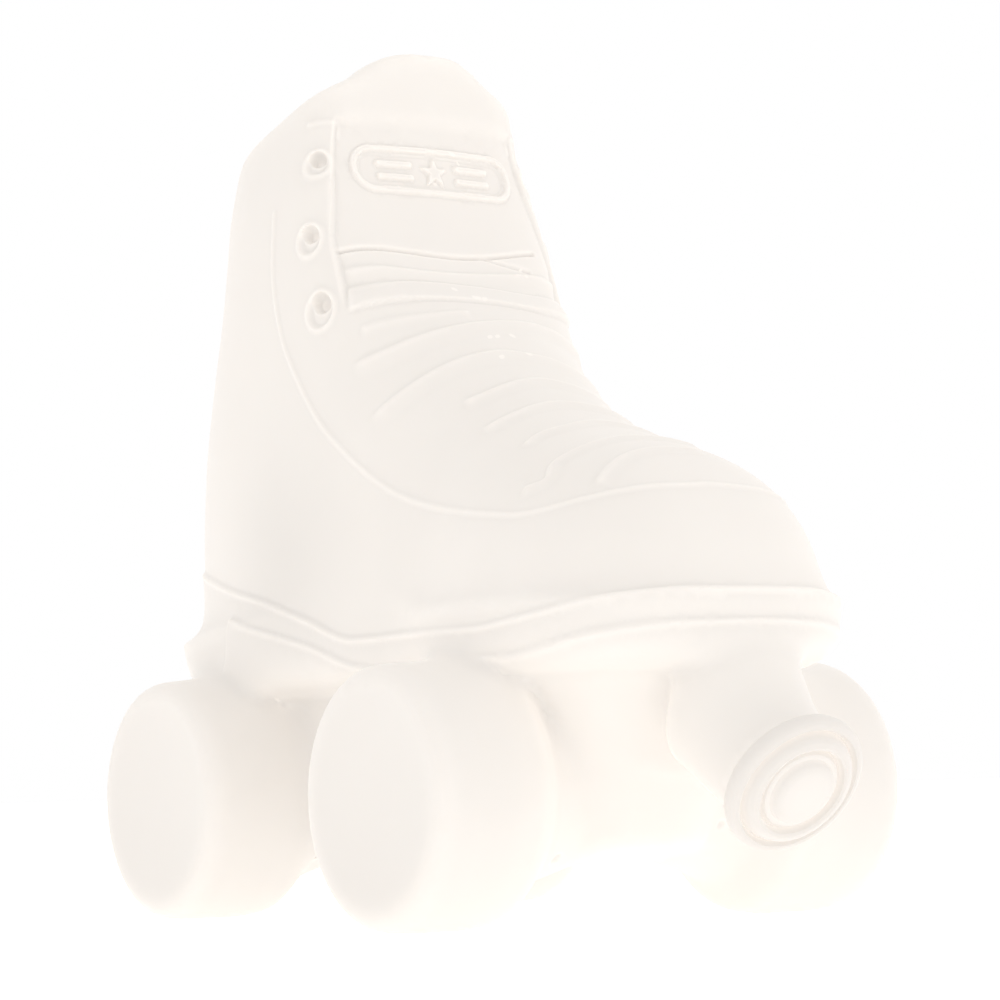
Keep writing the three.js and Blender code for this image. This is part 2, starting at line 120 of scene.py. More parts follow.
REAR_TRUCK_WIDTH = [(16, 12), (27, 16), (40, 21), (50, 27), (58, 33), (64, 36), (70, 37)]
WHEEL_PROFILE = [
    (0, 26.5), (1.2, 28.4), (4, 29.6), (10, 30), (20, 30), (27.4, 29.2), (36.4, 21.5), (46, 17), (52, 13.5),
]
WHEEL_DISH = 1.6
WHEEL_DISH_R = 24.0

# The light module's pocket in the underside, and its hatch and screw bosses.
MODULE_X = -17.0
BODY_BOTTOM = 16.5
POCKET = (81.6, 46.0, 6.0)
POCKET_TOP = 21.8
HATCH = (72.0, 36.4, 8.0)
LEDGE_TOP = 24.4
SCREW_X, SCREW_Y = 36.6, 18.8
SCREW_BOSS_R = 3.5
SCREW_BORE_R = 1.5
SCREW_BOSS_TOP = 31.0


# ---------------------------------------------------------------- field arithmetic
def along(points, at):
    """Smooth line through a few (place, value) points, read at `at` and flat beyond its ends."""
    place, value = np.array(points, float).T
    step = np.diff(place)
    slope = np.diff(value) / step
    before, after = slope[:-1], slope[1:]
    total = np.where(before * after > 0, before + after, 1.0)
    inner = np.where(before * after > 0, 2 * before * after / total, 0.0)
    tangent = np.concatenate([slope[:1], inner, slope[-1:]])
    at = np.clip(at, place[0], place[-1])
    i = np.clip(np.searchsorted(place, at) - 1, 0, len(step) - 1)
    t = (at - place[i]) / step[i]
    start = (1 + 2 * t) * (1 - t) ** 2 * value[i] + t * (1 - t) ** 2 * step[i] * tangent[i]
    end = t * t * (3 - 2 * t) * value[i + 1] + t * t * (t - 1) * step[i] * tangent[i + 1]
    return start + end


def joined(a, b, blend):
    """Union of two fields with a fillet of about the blend's size."""
    near = np.maximum(blend - np.abs(a - b), 0) / blend
    return np.minimum(a, b) - near ** 3 * blend / 6


def trimmed(a, b, blend):
    """Intersection of two fields with its edge rounded."""
    return -joined(-a, -b, blend)


def ramp(t):
    """0 to 1 without corners, as t goes from 0 to 1."""
    t = np.clip(t, 0, 1)
    return t * t * (3 - 2 * t)


def rounded_box(x, y, z, centre, half, corner):
    gaps = [np.abs(v - c) - h + corner for v, c, h in zip((x, y, z), centre, half)]
    outside = np.sqrt(sum(np.maximum(g, 0) ** 2 for g in gaps))
    inside = np.minimum(np.maximum(gaps[0], np.maximum(gaps[1], gaps[2])), 0)
    return outside + inside - corner


def box_outline(u, v, half_u, half_v, corner):
    """Signed distance to a rounded rectangle in its own plane."""
    wide, high = np.abs(u) - half_u + corner, np.abs(v) - half_v + corner
    return np.hypot(np.maximum(wide, 0), np.maximum(high, 0)) + np.minimum(np.maximum(wide, high), 0) - corner


# ---------------------------------------------------------------- the skate as fields
def foot(x, y, z):
    half = along(FOOT_HALF_WIDTH, x)
    rise = np.maximum(z - SOLE_TOP, 0) / along(FOOT_RISE, x)
    nose = np.maximum(0, (x - TOE_CENTRE) / TOE_LENGTH)
    heel = np.maximum(0, (-45 - x) / 40)
    powers = [part ** ROUNDNESS for part in (np.abs(y) / half, rise, nose, heel)]
    size = sum(powers) ** (1 / ROUNDNESS)
    return trimmed((size - 1) * np.minimum(half, 30), SOLE_BOTTOM - z, EDGE_BLEND)


def collar_top(x, y, size):
    """Height of the closed top behind the tongue, which slopes and is dished inside its rim."""
    dish = COLLAR_DISH * ramp((0.86 - size) / 0.22)
    return COLLAR_Z + (x - COLLAR_X) * COLLAR_SLOPE - 0.003 * y * y - dish


def shaft(x, y, z):
    back = along(SHAFT_BACK, z)
    front = along(SHAFT_FRONT, z)
    half = along(SHAFT_HALF_WIDTH, z)
    middle = (back + front) / 2
    reach = (front - back) / 2
    power = np.where(x > middle, along(FRONT_SQUARENESS, z), ROUNDNESS)
    size = ((np.abs(x - middle) / reach) ** power + (np.abs(y) / half) ** power) ** (1 / power)
    side = trimmed((size - 1) * np.minimum(reach, half), SOLE_BOTTOM - z, EDGE_BLEND)
    return trimmed(side, z - collar_top(x, y, size), 6)


def tongue(x, y, z):
    wide = np.abs(y) - TONGUE_HALF_WIDTH + TONGUE_CORNER
    high = z - TONGUE_TOP + TONGUE_CORNER
    outline = np.hypot(np.maximum(wide, 0), np.maximum(high, 0)) + np.minimum(np.maximum(wide, high), 0)
    outline = np.maximum(outline - TONGUE_CORNER, 150 - z)
    front = along(TONGUE_FRONT, z) - 0.012 * y * y
    middle = front - TONGUE_THICKNESS / 2
    return trimmed(outline, np.abs(x - middle) - TONGUE_THICKNESS / 2, 5)


def wheel_pair(x, y, z, axle_x, track):
    depth = track - np.abs(y)
    radius = np.hypot(x - axle_x, z - WHEEL_R)
    tread = 0.85 * (radius - along(WHEEL_PROFILE, depth))
    dish = WHEEL_DISH * np.clip(1 - (radius / WHEEL_DISH_R) ** 2, 0, 1)
    return np.maximum(tread, dish - depth)


def axle_beam(x, y, z, axle_x):
    return trimmed(np.hypot(x - axle_x, z - WHEEL_R) - AXLE_BEAM_R, np.abs(y) - AXLE_BEAM_HALF_LENGTH, 4)


def truck(x, y, z, centre_x, half_lengths, half_widths):
    """The bulged mass between a pair of wheels, as wide as the sole above and narrow below."""
    half_length = along(half_lengths, z)
    half_width = along(half_widths, z)
    size = (np.abs((x - centre_x) / half_length) ** 3 + np.abs(y / half_width) ** 3) ** (1 / 3)
    side = (size - 1) * np.minimum(half_length, half_width) * 0.8
    return trimmed(trimmed(side, BODY_BOTTOM - z, 4), z - SOLE_TOP, 2)


def underbody(x, y, z):
    """Both trucks with their axle beams, and the filled arch between them."""
    front = truck(x, y, z, FRONT_TRUCK_X, FRONT_TRUCK_LENGTH, FRONT_TRUCK_WIDTH)
    front = joined(front, axle_beam(x, y, z, FRONT_AXLE_X), TRUCK_BLEND)
    rear = truck(x, y, z, REAR_AXLE_X, REAR_TRUCK_LENGTH, REAR_TRUCK_WIDTH)
    rear = joined(rear, axle_beam(x, y, z, REAR_AXLE_X), TRUCK_BLEND)
    middle = rounded_box(x, y, z, ((FRONT_AXLE_X + REAR_AXLE_X) / 2, 0, 46.5), (50, 27, 30), 4)
    return joined(joined(front, rear, TRUCK_BLEND), middle, EDGE_BLEND)


def stop_mount(x, y, z):
    """The round boss under the toe and the neck that carries the stop."""
    dx, dz = x - STOP_CENTRE[0], z - STOP_CENTRE[2]
    reach = dx * STOP_AXIS[0] + dz * STOP_AXIS[2]
    radius = np.sqrt(np.maximum(dx ** 2 + dz ** 2 - reach ** 2, 0) + y ** 2)
    neck = trimmed(radius - STOP_NECK_R + 0.06 * np.maximum(reach + 12, 0), np.abs(reach + 15.5) - 13, 2)
    boss = np.sqrt((x - STOP_BOSS_X) ** 2 + y ** 2 + (z - STOP_BOSS_Z) ** 2) - STOP_BOSS_R
    return joined(neck, boss, EDGE_BLEND)


def skate_body(x, y, z):
    boot = joined(joined(foot(x, y, z), shaft(x, y, z), BODY_BLEND), tongue(x, y, z), 6)
    body = joined(boot, underbody(x, y, z), BODY_BLEND)
    front_wheels = wheel_pair(x, y, z, FRONT_AXLE_X, FRONT_TRACK)
    rear_wheels = wheel_pair(x, y, z, REAR_AXLE_X, REAR_TRACK)
    return joined(body, np.minimum(front_wheels, rear_wheels), BODY_BLEND)


def skate(x, y, z):
    return joined(skate_body(x, y, z), stop_mount(x, y, z), STOP_BLEND)


def cavity(x, y, z):
    """The hollow inside the shell, kept clear of the light module's pocket."""
    length, width, corner = POCKET
    centre = (MODULE_X, 0, (BODY_BOTTOM + LEDGE_TOP) / 2)
    half = (length / 2 + WALL, width / 2 + WALL, (LEDGE_TOP - BODY_BOTTOM) / 2)
    rim = rounded_box(x, y, z, centre, half, 1)
    return np.maximum(skate_body(x, y, z) + WALL, -rim)


def on_points(field):
    return lambda p: field(p[:, 0], p[:, 1], p[:, 2])


# ---------------------------------------------------------------- meshing a field
def surface_nets(field, low, high, step):
    """Quads of the field's zero surface on a regular grid, as points and face indices."""
    axes = [np.arange(a, b + step, step) for a, b in zip(low, high)]
    value = field(*np.meshgrid(*axes, indexing="ij"))
    inside = value < 0
    size = np.array(value.shape)
    corners = [(i, j, k) for i in (0, 1) for j in (0, 1) for k in (0, 1)]
    window = [slice(0, size[a] - 1) for a in range(3)]
    shifted = {c: inside[tuple(slice(s, size[a] - 1 + s) for a, s in enumerate(c))] for c in corners}
    count = sum(s.astype(np.int8) for s in shifted.values())
    crossed = (count > 0) & (count < 8)
    cells = np.argwhere(crossed)
    number = np.full(crossed.shape, -1)
    number[crossed] = np.arange(len(cells))
    total = np.zeros((len(cells), 3))
    crossings = np.zeros(len(cells))
    at = {c: value[tuple((cells + c).T)] for c in corners}
    for c in corners:
        for axis in range(3):
            if c[axis]:
                continue
            other = tuple(1 if a == axis else s for a, s in enumerate(c))
            cut = (at[c] < 0) != (at[other] < 0)
            place = np.tile(np.array(c, float), (cut.sum(), 1))
            place[:, axis] += at[c][cut] / (at[c][cut] - at[other][cut])
            total[cut] += place
            crossings[cut] += 1
    points = (cells + total / crossings[:, None]) * step + np.array(low)
    faces = []
    for axis in range(3):
        u, v = [a for a in range(3) if a != axis]
        first = [slice(None)] * 3
        second = [slice(None)] * 3
        first[axis], second[axis] = slice(0, -1), slice(1, None)
        edges = np.argwhere(inside[tuple(first)] != inside[tuple(second)])
        edges = edges[(edges[:, u] > 0) & (edges[:, v] > 0)]
        solid = inside[tuple(edges.T)]
        ring = []
        for du, dv in ((1, 1), (0, 1), (0, 0), (1, 0)):
            cell = edges.copy()
            cell[:, u] -= du
            cell[:, v] -= dv
            ring.append(number[tuple(cell.T)])
        quads = np.stack(ring, 1)
        turned = ~solid if axis != 1 else solid
        quads[turned] = quads[turned][:, ::-1]
        faces.append(quads)
    return points, np.vstack(faces)


def triangles(points, quads):
    """Each quad split along its shorter diagonal."""
    a, b, c, d = (points[quads[:, i]] for i in range(4))
    short = np.linalg.norm(a - c, axis=1) <= np.linalg.norm(b - d, axis=1)
    first = np.where(short[:, None], quads[:, [0, 1, 2]], quads[:, [0, 1, 3]])
    second = np.where(short[:, None], quads[:, [0, 2, 3]], quads[:, [1, 2, 3]])
    return np.vstack([first, second])


def gradient(field, points):
    h = 0.04
    parts = []
    for axis in range(3):
        shift = np.zeros(3)
        shift[axis] = h
        parts.append((field(points + shift) - field(points - shift)) / (2 * h))
    return np.stack(parts, 1)


def settle(field, points, rounds=2):
    """Points moved along the field's gradient onto its surface."""
    for _ in range(rounds):
        slope = gradient(field, points)
        move = field(points) / np.maximum((slope ** 2).sum(1), 0.2)
        points = points - slope * np.clip(move, -1.5, 1.5)[:, None]
    return points


def normals_of(field, points):
    slope = gradient(field, points)
    return slope / np.linalg.norm(slope, axis=1)[:, None]


def relax(points, faces, normals, amount=0.5):
    """Evens out the mesh by sliding each point towards its neighbours, along the surface."""
    total = np.zeros_like(points)
    count = np.zeros(len(points))
    for i, j in ((0, 1), (1, 2), (2, 0)):
        for a, b in ((i, j), (j, i)):
            for axis in range(3):
                total[:, axis] += np.bincount(faces[:, a], points[faces[:, b], axis], len(points))
            count += np.bincount(faces[:, a], minlength=len(points))
    move = total / np.maximum(count, 1)[:, None] - points
    move -= normals * (move * normals).sum(1)[:, None]
    return points + amount * move


def refine(points, faces, wanted):
    """Splits the wanted triangles in four, and their neighbours so that no edge is left hanging."""
    sides = faces[:, [[0, 1], [1, 2], [2, 0]]]
    key = np.sort(sides, axis=2)
    key = key[..., 0] * len(points) + key[..., 1]
    names, where = np.unique(key, return_inverse=True)
    where = where.reshape(key.shape)
    split = np.zeros(len(names), bool)
    split[where[wanted].ravel()] = True
    middle = np.full(len(names), -1)
    middle[split] = len(points) + np.arange(split.sum())
    ends = np.stack([names[split] // len(points), names[split] % len(points)], 1)
    points = np.vstack([points, points[ends].mean(1)])
    mids = middle[where]
    marked = mids >= 0
    count = marked.sum(1)
    kept = [faces[count == 0]]
    for number, odd in ((1, True), (2, False)):
        pick = count == number
        turn = np.argmax(marked[pick] == odd, axis=1)
        order = (turn[:, None] + np.arange(3)) % 3
        f = np.take_along_axis(faces[pick], order, 1)
        m = np.take_along_axis(mids[pick], order, 1)
        if number == 1:
            kept += [np.stack([f[:, 0], m[:, 0], f[:, 2]], 1), np.stack([m[:, 0], f[:, 1], f[:, 2]], 1)]
        else:
            kept += [
                np.stack([f[:, 0], f[:, 1], m[:, 1]], 1),
                np.stack([f[:, 0], m[:, 1], m[:, 2]], 1),
                np.stack([m[:, 1], f[:, 2], m[:, 2]], 1),
            ]
    f, m = faces[count == 3], mids[count == 3]
    kept += [
        np.stack([f[:, 0], m[:, 0], m[:, 2]], 1),
        np.stack([m[:, 0], f[:, 1], m[:, 1]], 1),
        np.stack([m[:, 2], m[:, 1], f[:, 2]], 1),
        m,
    ]
    return points, np.vstack(kept)


def mesh_object(name, points, faces):
    mesh = bpy.data.meshes.new(name)
    mesh.from_pydata((np.asarray(points) * MM).tolist(), [], [list(map(int, face)) for face in faces])
    mesh.update()
    piece = bpy.data.objects.new(name, mesh)
    bpy.context.scene.collection.objects.link(piece)
    return piece


# ---------------------------------------------------------------- lines pressed into the surface
def smooth_path(points, per_span=8):
    """Catmull-Rom points through a few given ones."""
    p = np.array(points, float)
    p = np.vstack([2 * p[0] - p[1], p, 2 * p[-1] - p[-2]])
    t = np.linspace(0, 1, per_span, endpoint=False)[:, None]
    spans = []
    for a, b, c, d in zip(p[:-3], p[1:-2], p[2:-1], p[3:]):
        spans.append(0.5 * (2 * b + (c - a) * t + (2 * a - 5 * b + 4 * c - d) * t ** 2
                            + (3 * b - 3 * c + d - a) * t ** 3))
    return np.vstack(spans + [p[-2:-1]])


class Line:
    """A line on the skate's surface, with the distance and side of any point near it."""

    def __init__(self, points, reach, profile, fine=0.6):
        self.path = settle(on_points(skate), smooth_path(points), 4)
        self.reach = reach
        self.profile = profile
        self.fine = fine

    def near(self, points):
        low, high = self.path.min(0) - self.reach, self.path.max(0) + self.reach
        return np.nonzero(((points > low) & (points < high)).all(1))[0]

    def measure(self, points, normals):
        """Signed distance across the line and place along it from 0 to 1, for each point."""
        start, step = self.path[:-1], np.diff(self.path, axis=0)
        length = np.linalg.norm(step, axis=1)
        run = np.concatenate([[0], np.cumsum(length)])
        best = np.full(len(points), 1e9)
        across = np.zeros(len(points))
        place = np.zeros(len(points))
        for i in range(len(step)):
            gap = points - start[i]
            t = np.clip(gap @ step[i] / length[i] ** 2, 0, 1)
            gap = gap - t[:, None] * step[i]
            distance = np.linalg.norm(gap, axis=1)
            closer = distance < best
            side = np.cross(normals, step[i])
            sign = np.sign((gap * side).sum(1))
            best = np.where(closer, distance, best)
            across = np.where(closer, distance * np.where(sign == 0, 1, sign), across)
            place = np.where(closer, (run[i] + t * length[i]) / run[-1], place)
        return across, place


def bead(width, height):
    return lambda across, place: height * np.exp(-(2 * across / width) ** 2)


def fold(width, height, edge=1.7, fade=0.06):
    """A ledge that faces up, and falls away gently below it."""
    def profile(across, place):
        body = ramp(0.5 - across / edge) * ramp(1 + across / width)
        return height * body * ramp(place / fade) * ramp((1 - place) / fade)
    return profile


def band(width, height, edge=1.0, fade=0.03):
    """A flat lace with a rounded back and sharp sides."""
    def profile(across, place):
        body = ramp((width / 2 - np.abs(across)) / edge + 0.5)
        crown = 1 - 0.3 * np.clip(np.abs(2 * across / width), 0, 1) ** 2
        return height * body * crown * ramp(place / fade) * ramp((1 - place) / fade)
    return profile


# ---------------------------------------------------------------- what is pressed into the shell
# Heights where the sole band and the outsole begin, as (length, height) points.
WELT_Z = [
    (-118, 91.5), (-94, 88.3), (-66, 82.4), (-49, 78.9), (-31, 73.9), (-9.5, 67.8), (12, 68), (48, 67.5),
    (72, 69.8), (83, 71.8), (95, 73.9),
]
OUTSOLE_Z = [
    (-67, 75.3), (-48, 71.4), (-28, 66.9), (-9, 61.5), (15, 59.5), (38, 60), (61, 61), (72, 62.4), (80, 64.1),
    (85, 65.2), (95, 67),
]
HEEL_PANEL_X = -67.0
SEAM = [
    (-46.5, -36, 176), (-46.4, -36.7, 159), (-41.9, -37.3, 145), (-35.2, -37.6, 134.7), (-23.8, -38, 122),
    (-12.5, -37, 112.5), (-1.9, -35, 105), (9.9, -33.6, 99.6), (25.9, -33.6, 95.9), (47, -34.8, 93),
    (63.4, -33.7, 92.2), (76, -26, 94.5), (83, -10, 97), (84, 0, 98),
]
COLLAR_LINE = [(-30.9, -26.2, 194.5), (-31.8, -26, 197.4), (-34.5, -28.8, 197.9), (-37.5, -30.4, 197.6)]
FACING_EDGE = [(150, 32.5), (164, 32.3), (177, 30.1), (188, 27.8), (199, 26)]
TONGUE_PLATE_Z = 164.2
BADGE_Z = 186.4
BADGE_HALF = (23.0, 5.6)
EYELETS = [(-33.5, -30.5, 186.6, 4.3), (-30.9, -35.1, 167.0, 4.8), (-25.7, -35.4, 148.8, 5.6)]

EYELET_RING, EYELET_BOWL, EYELET_HOLE = 0.5, 0.7, 1.9
# How far each hole sits above its eyelet's middle, as a share of its radius.
HOLE_LIFT = 0.36

# Heights of the sole's two ledges and their beads, and depth of the opening over the tongue.
WELT_STEP, OUTSOLE_STEP = 0.5, 0.45
WELT_BEAD, OUTSOLE_BEAD = 0.4, 0.35
OPENING_DEPTH = 1.1

# Small pits left by the mould, and their depth.
MARKS = [(-53.3, -32.3, 53), (54.5, -24.7, 15.7), (57.4, 18.9, 22.2)]
MARK_DEPTH = 0.7

# The broad lace lies flat, the others are folds with a sharp upper edge, and the creases are grooves.
# Each has a height, a width and points from the right side across to the left.
BROAD_LACES = [
    (1.2, 6.4, [
        (-18.5, -33, 150.6), (-13, -26.6, 152.3), (-9, -10, 153.6), (-8, 1, 153.5), (-9, 18.5, 152),
        (-18.5, 33, 150),
    ]),
]
LACES = [
    (0.9, 4.5, [
        (-22, -32.8, 158.6), (-13.3, -17, 160.1), (-12.7, -0.5, 159.6), (-14.2, 20.3, 161), (-22, 32, 158),
    ]),
    (0.5, 4.0, [(-14, -31.5, 143.3), (-9, -26, 144.9), (-5, -16.7, 146.4), (-3, -6, 147.6)]),
    (0.9, 6.0, [
        (-14.5, -33.9, 133.7), (-6, -27.7, 137.6), (-0.7, -15.4, 142.2), (0.2, -2.6, 144.5),
        (-3, 16.5, 144.3), (-10, 30, 137),
    ]),
    (0.8, 6.0, [
        (-5.8, -34.3, 119.6), (2.3, -27, 127.7), (6.8, -17.3, 133.4), (8.7, -5.2, 136.2), (9.8, 4, 135.6),
        (8, 18, 132), (-4, 33, 121),
    ]),
    (0.8, 5.0, [
        (15.4, -21.7, 121.9), (18, -14.9, 125), (17.6, -1.6, 128.6), (18.5, 8, 127.8), (15, 22, 121.5),
    ]),
    (0.8, 4.5, [
        (26.2, -23.3, 114.1), (28.7, -15.9, 118.4), (28.4, -3.7, 121.8), (28.5, 7, 121), (26, 22, 115),
    ]),
    (0.8, 4.5, [
        (42.6, -23, 108.6), (41.4, -18.2, 111.9), (42, -10.1, 114.4), (40, 0, 116), (41, 12, 114),
        (42, 22, 109),
    ]),
    (0.8, 4.5, [
        (54, -31, 98.2), (60, -28.6, 99.7), (57.5, -24.7, 103.7), (58.6, -17.4, 107.4), (58, -8, 109.6),
        (58, 4, 110), (58, 16, 107.6),
    ]),
    (0.7, 4.5, [(74, -25.3, 97.3), (70.5, -15.3, 104.3), (69, -4, 106), (69, 8, 105.6)]),
]
CREASES = [
    (-1.0, 1.1, [(-23, -32.2, 163.6), (-16, -7.7, 164.3), (-17, 8.5, 164.2), (-20.4, 25.3, 166.6)]),
    (-0.6, 1.0, [(-16.5, 8, 164), (-16, 14, 162.6), (-17, 21, 160.8)]),
]

def star_outline(u, v, radius, points=5, sharpness=0.42):
    """Signed distance, near enough, to a star with one point up."""
    turn = np.mod(np.arctan2(u, v), 2 * np.pi / points)
    turn = np.minimum(turn, 2 * np.pi / points - turn)
    size = np.hypot(u, v)
    tip = np.array([0.0, radius])
    notch = radius * sharpness * np.array([np.sin(np.pi / points), np.cos(np.pi / points)])
    along_edge = (notch - tip) / np.linalg.norm(notch - tip)
    normal = np.array([along_edge[1], -along_edge[0]])
    normal *= np.sign(normal @ tip)
    return (size * np.sin(turn) - tip[0]) * normal[0] + (size * np.cos(turn) - tip[1]) * normal[1]


def raised(distance, edge=0.5):
    """1 inside an outline and 0 outside it, with a sloping edge."""
    return ramp(0.5 - distance / edge)


def badge(points, normals):
    """Height of a plain framed badge: a star between two pairs of bars."""
    u, v = points[:, 1], (points[:, 2] - BADGE_Z) / 0.97
    frame_ring = np.abs(box_outline(u, v, *BADGE_HALF, BADGE_HALF[1] - 0.4)) - 0.75
    field = box_outline(u, v, BADGE_HALF[0] - 1.5, BADGE_HALF[1] - 1.5, BADGE_HALF[1] - 1.9)
    star = star_outline(u, v, 4.0)
    bars = box_outline(np.abs(u) - 11.5, np.abs(v) - 1.7, 5.2, 0.8, 0.7)
    height = 1.0 * raised(frame_ring) - 0.35 * raised(field)
    height += 0.95 * np.maximum(raised(star), raised(bars))
    return height * (normals[:, 0] > 0.3) * (points[:, 0] > -40)


def sole_lines(points):
    """Signed heights above the sole band's and the outsole's upper edges."""
    x, z = points[:, 0], points[:, 2]
    return z - along(WELT_Z, x), z - along(OUTSOLE_Z, x)


def facing_gap(points):
    """How far inside the tongue opening a point lies, negative on the facings."""
    return along(FACING_EDGE, points[:, 2]) - np.abs(points[:, 1])


def surface_lines():
    lines = []
    for height, width, path in BROAD_LACES:
        lines.append(Line(path, width / 2 + 0.8, band(width, height)))
    for height, width, path in LACES:
        lines.append(Line(path, width, fold(width, height)))
    for height, width, path in CREASES:
        lines.append(Line(path, width + 0.4, bead(width, height), 0.45))
    for side in (1, -1):
        lines.append(Line([(x, side * y, z) for x, y, z in COLLAR_LINE], 1.6, bead(1.5, 0.3), 0.5))
    seam = SEAM + [(x, -y, z) for x, y, z in SEAM[-2::-1]]
    lines.append(Line(seam, 1.7, bead(1.6, 0.42), 0.5))
    return lines


def relief(points, normals, lines):
    """Height of the pressed detail along the normal, and the edge length that it needs."""
    height = np.zeros(len(points))
    fine = np.full(len(points), 9.0)
    x, y, z = points.T
    boot = joined(foot(x, y, z), shaft(x, y, z), BODY_BLEND)
    on_boot = ramp(1.6 - np.abs(boot) / 3)

    band_z, outsole_z = sole_lines(points)
    height += WELT_STEP * ramp(0.5 - band_z / 1.3) * on_boot
    behind_panel = ramp((x - HEEL_PANEL_X) / 0.9)
    height += OUTSOLE_STEP * ramp(0.5 - outsole_z / 0.9) * behind_panel * on_boot
    height += WELT_BEAD * np.exp(-((band_z + 0.9) / 0.7) ** 2) * on_boot
    height += OUTSOLE_BEAD * np.exp(-((outsole_z + 0.9) / 0.7) ** 2) * behind_panel * on_boot
    edge = np.minimum(np.abs(band_z), np.where(x > HEEL_PANEL_X, np.abs(outsole_z), 9))
    panel_edge = np.maximum(np.abs(x - HEEL_PANEL_X), outsole_z)
    edge = np.minimum(edge, np.where(z > 62, panel_edge, 9))
    fine = np.where((edge < 1.5) & (on_boot > 0.3), 0.7, fine)

    gap = facing_gap(points)
    front = (normals[:, 0] > 0.05) & (z > 146) & (z < 204)
    opening = ramp(gap / 0.9 + 0.5) * ramp((z - 147) / 8) * ramp((199.5 - z) / 3) * front
    height -= OPENING_DEPTH * opening
    height -= 0.5 * opening * ramp((TONGUE_PLATE_Z - z) / 5)
    fine = np.where(front & (np.abs(gap) < 1.0) & (z < 202), 0.6, fine)

    height += badge(points, normals)
    on_badge = box_outline(y, z - BADGE_Z, BADGE_HALF[0] + 1, BADGE_HALF[1] + 1, 4) < 0
    fine = np.where(on_badge & front, 0.42, fine)

    for ex, ey, ez, radius in EYELETS:
        for side in (1, -1):
            centre = settle(on_points(skate), np.array([[ex, side * ey, ez]]), 4)[0]
            offset = points - centre
            distance = np.sqrt(np.maximum((offset ** 2).sum(1) - (offset * normals).sum(1) ** 2, 0))
            close = (offset ** 2).sum(1) < (radius + 3) ** 2
            lift = offset[:, 2] / np.sqrt(np.maximum(1 - normals[:, 2] ** 2, 0.1))
            aside = np.sqrt(np.maximum(distance ** 2 - lift ** 2, 0))
            ring = EYELET_RING * np.exp(-((distance - radius + 0.7) / 0.9) ** 2)
            bowl = -EYELET_BOWL * ramp((radius - 0.8 - distance) / 1.6)
            hole = np.hypot(aside / 1.2, lift - HOLE_LIFT * radius) - 0.42 * radius
            dish = bowl - EYELET_HOLE * ramp(0.5 - hole / 0.8)
            height += np.where(close, ring + dish, 0)
            fine = np.where(close & (distance < radius + 0.8), 0.5, fine)

    for mx, my, mz in MARKS:
        distance = np.sqrt((x - mx) ** 2 + (y - my) ** 2 + (z - mz) ** 2)
        height -= MARK_DEPTH * ramp(1.5 - distance / 1.3)
        fine = np.where(distance < 2.5, 0.5, fine)

    for line in lines:
        near = line.near(points)
        across, place = line.measure(points[near], normals[near])
        inside = np.abs(across) < line.reach
        height[near] += np.where(inside, line.profile(across, place), 0)
        fine[near] = np.where(inside, np.minimum(fine[near], line.fine), fine[near])
    return height, fine


def skate_surface():
    """The outer surface with all its pressed detail, as points and triangles."""
    field = on_points(skate)
    points, quads = surface_nets(skate, GRID_LOW, GRID_HIGH, MESH_STEP)
    faces = triangles(points, quads)
    for _ in range(3):
        points = settle(field, relax(points, faces, normals_of(field, points)), 1)
    lines = surface_lines()
    for _ in range(3):
        fine = relief(points, normals_of(field, points), lines)[1]
        sides = [points[faces[:, i]] - points[faces[:, i - 1]] for i in range(3)]
        longest = np.max([np.linalg.norm(side, axis=1) for side in sides], 0)
        wanted = longest > 1.35 * fine[faces].min(1)
        if not wanted.any():
            break
        old = len(points)
        points, faces = refine(points, faces, wanted)
        points[old:] = settle(field, points[old:], 1)
    for amount in (0.4, 0.4, 0.2):
        points = settle(field, relax(points, faces, normals_of(field, points), amount), 1)
    normals = normals_of(field, points)
    height = relief(points, normals, lines)[0]
    return points + normals * height[:, None], faces


# ---------------------------------------------------------------- building the shell
def combine(target, tool, operation):
    modifier = target.modifiers.new(operation, "BOOLEAN")
    modifier.operation = operation
    modifier.solver = "MANIFOLD"
    modifier.object = tool
    bpy.context.view_layer.objects.active = target
    with bpy.context.temp_override(object=target, active_object=target):
        bpy.ops.object.modifier_apply(modifier=modifier.name)
    bpy.data.objects.remove(tool)


def lathe(name, profile, centre, axis, sides=96):
    """A closed solid turned round an axis, from (radius, reach) points that start and end on it."""
    axis = Vector(axis).normalized()
    side = axis.cross(Vector((0, 1, 0))).normalized()
    other = axis.cross(side)
    points, faces, rings = [], [], []
    for radius, reach in profile:
        if radius == 0:
            rings.append([len(points)])
            points.append(Vector(centre) + axis * reach)
            continue
        rings.append(list(range(len(points), len(points) + sides)))
        for i in range(sides):
            turn = 2 * math.pi * i / sides
            spoke = side * math.cos(turn) + other * math.sin(turn)
            points.append(Vector(centre) + axis * reach + spoke * radius)
    for a, b in zip(rings, rings[1:]):
        for i in range(sides):
            j = (i + 1) % sides
            ring = [a[i % len(a)], a[j % len(a)], b[j % len(b)], b[i % len(b)]]
            faces.append(list(dict.fromkeys(ring)))
    return mesh_object(name, points, faces)


def plate_outline(length, width, corner, centre, height, per_corner=8):
    ring = []
    for quarter in range(4):
        sx = 1 if quarter in (0, 3) else -1
        sy = 1 if quarter in (0, 1) else -1
        for i in range(per_corner + 1):
            turn = math.pi / 2 * (quarter + i / per_corner)
            x = sx * (length / 2 - corner) + corner * math.cos(turn)
            y = sy * (width / 2 - corner) + corner * math.sin(turn)
            ring.append((centre[0] + x, centre[1] + y, height))
    return ring


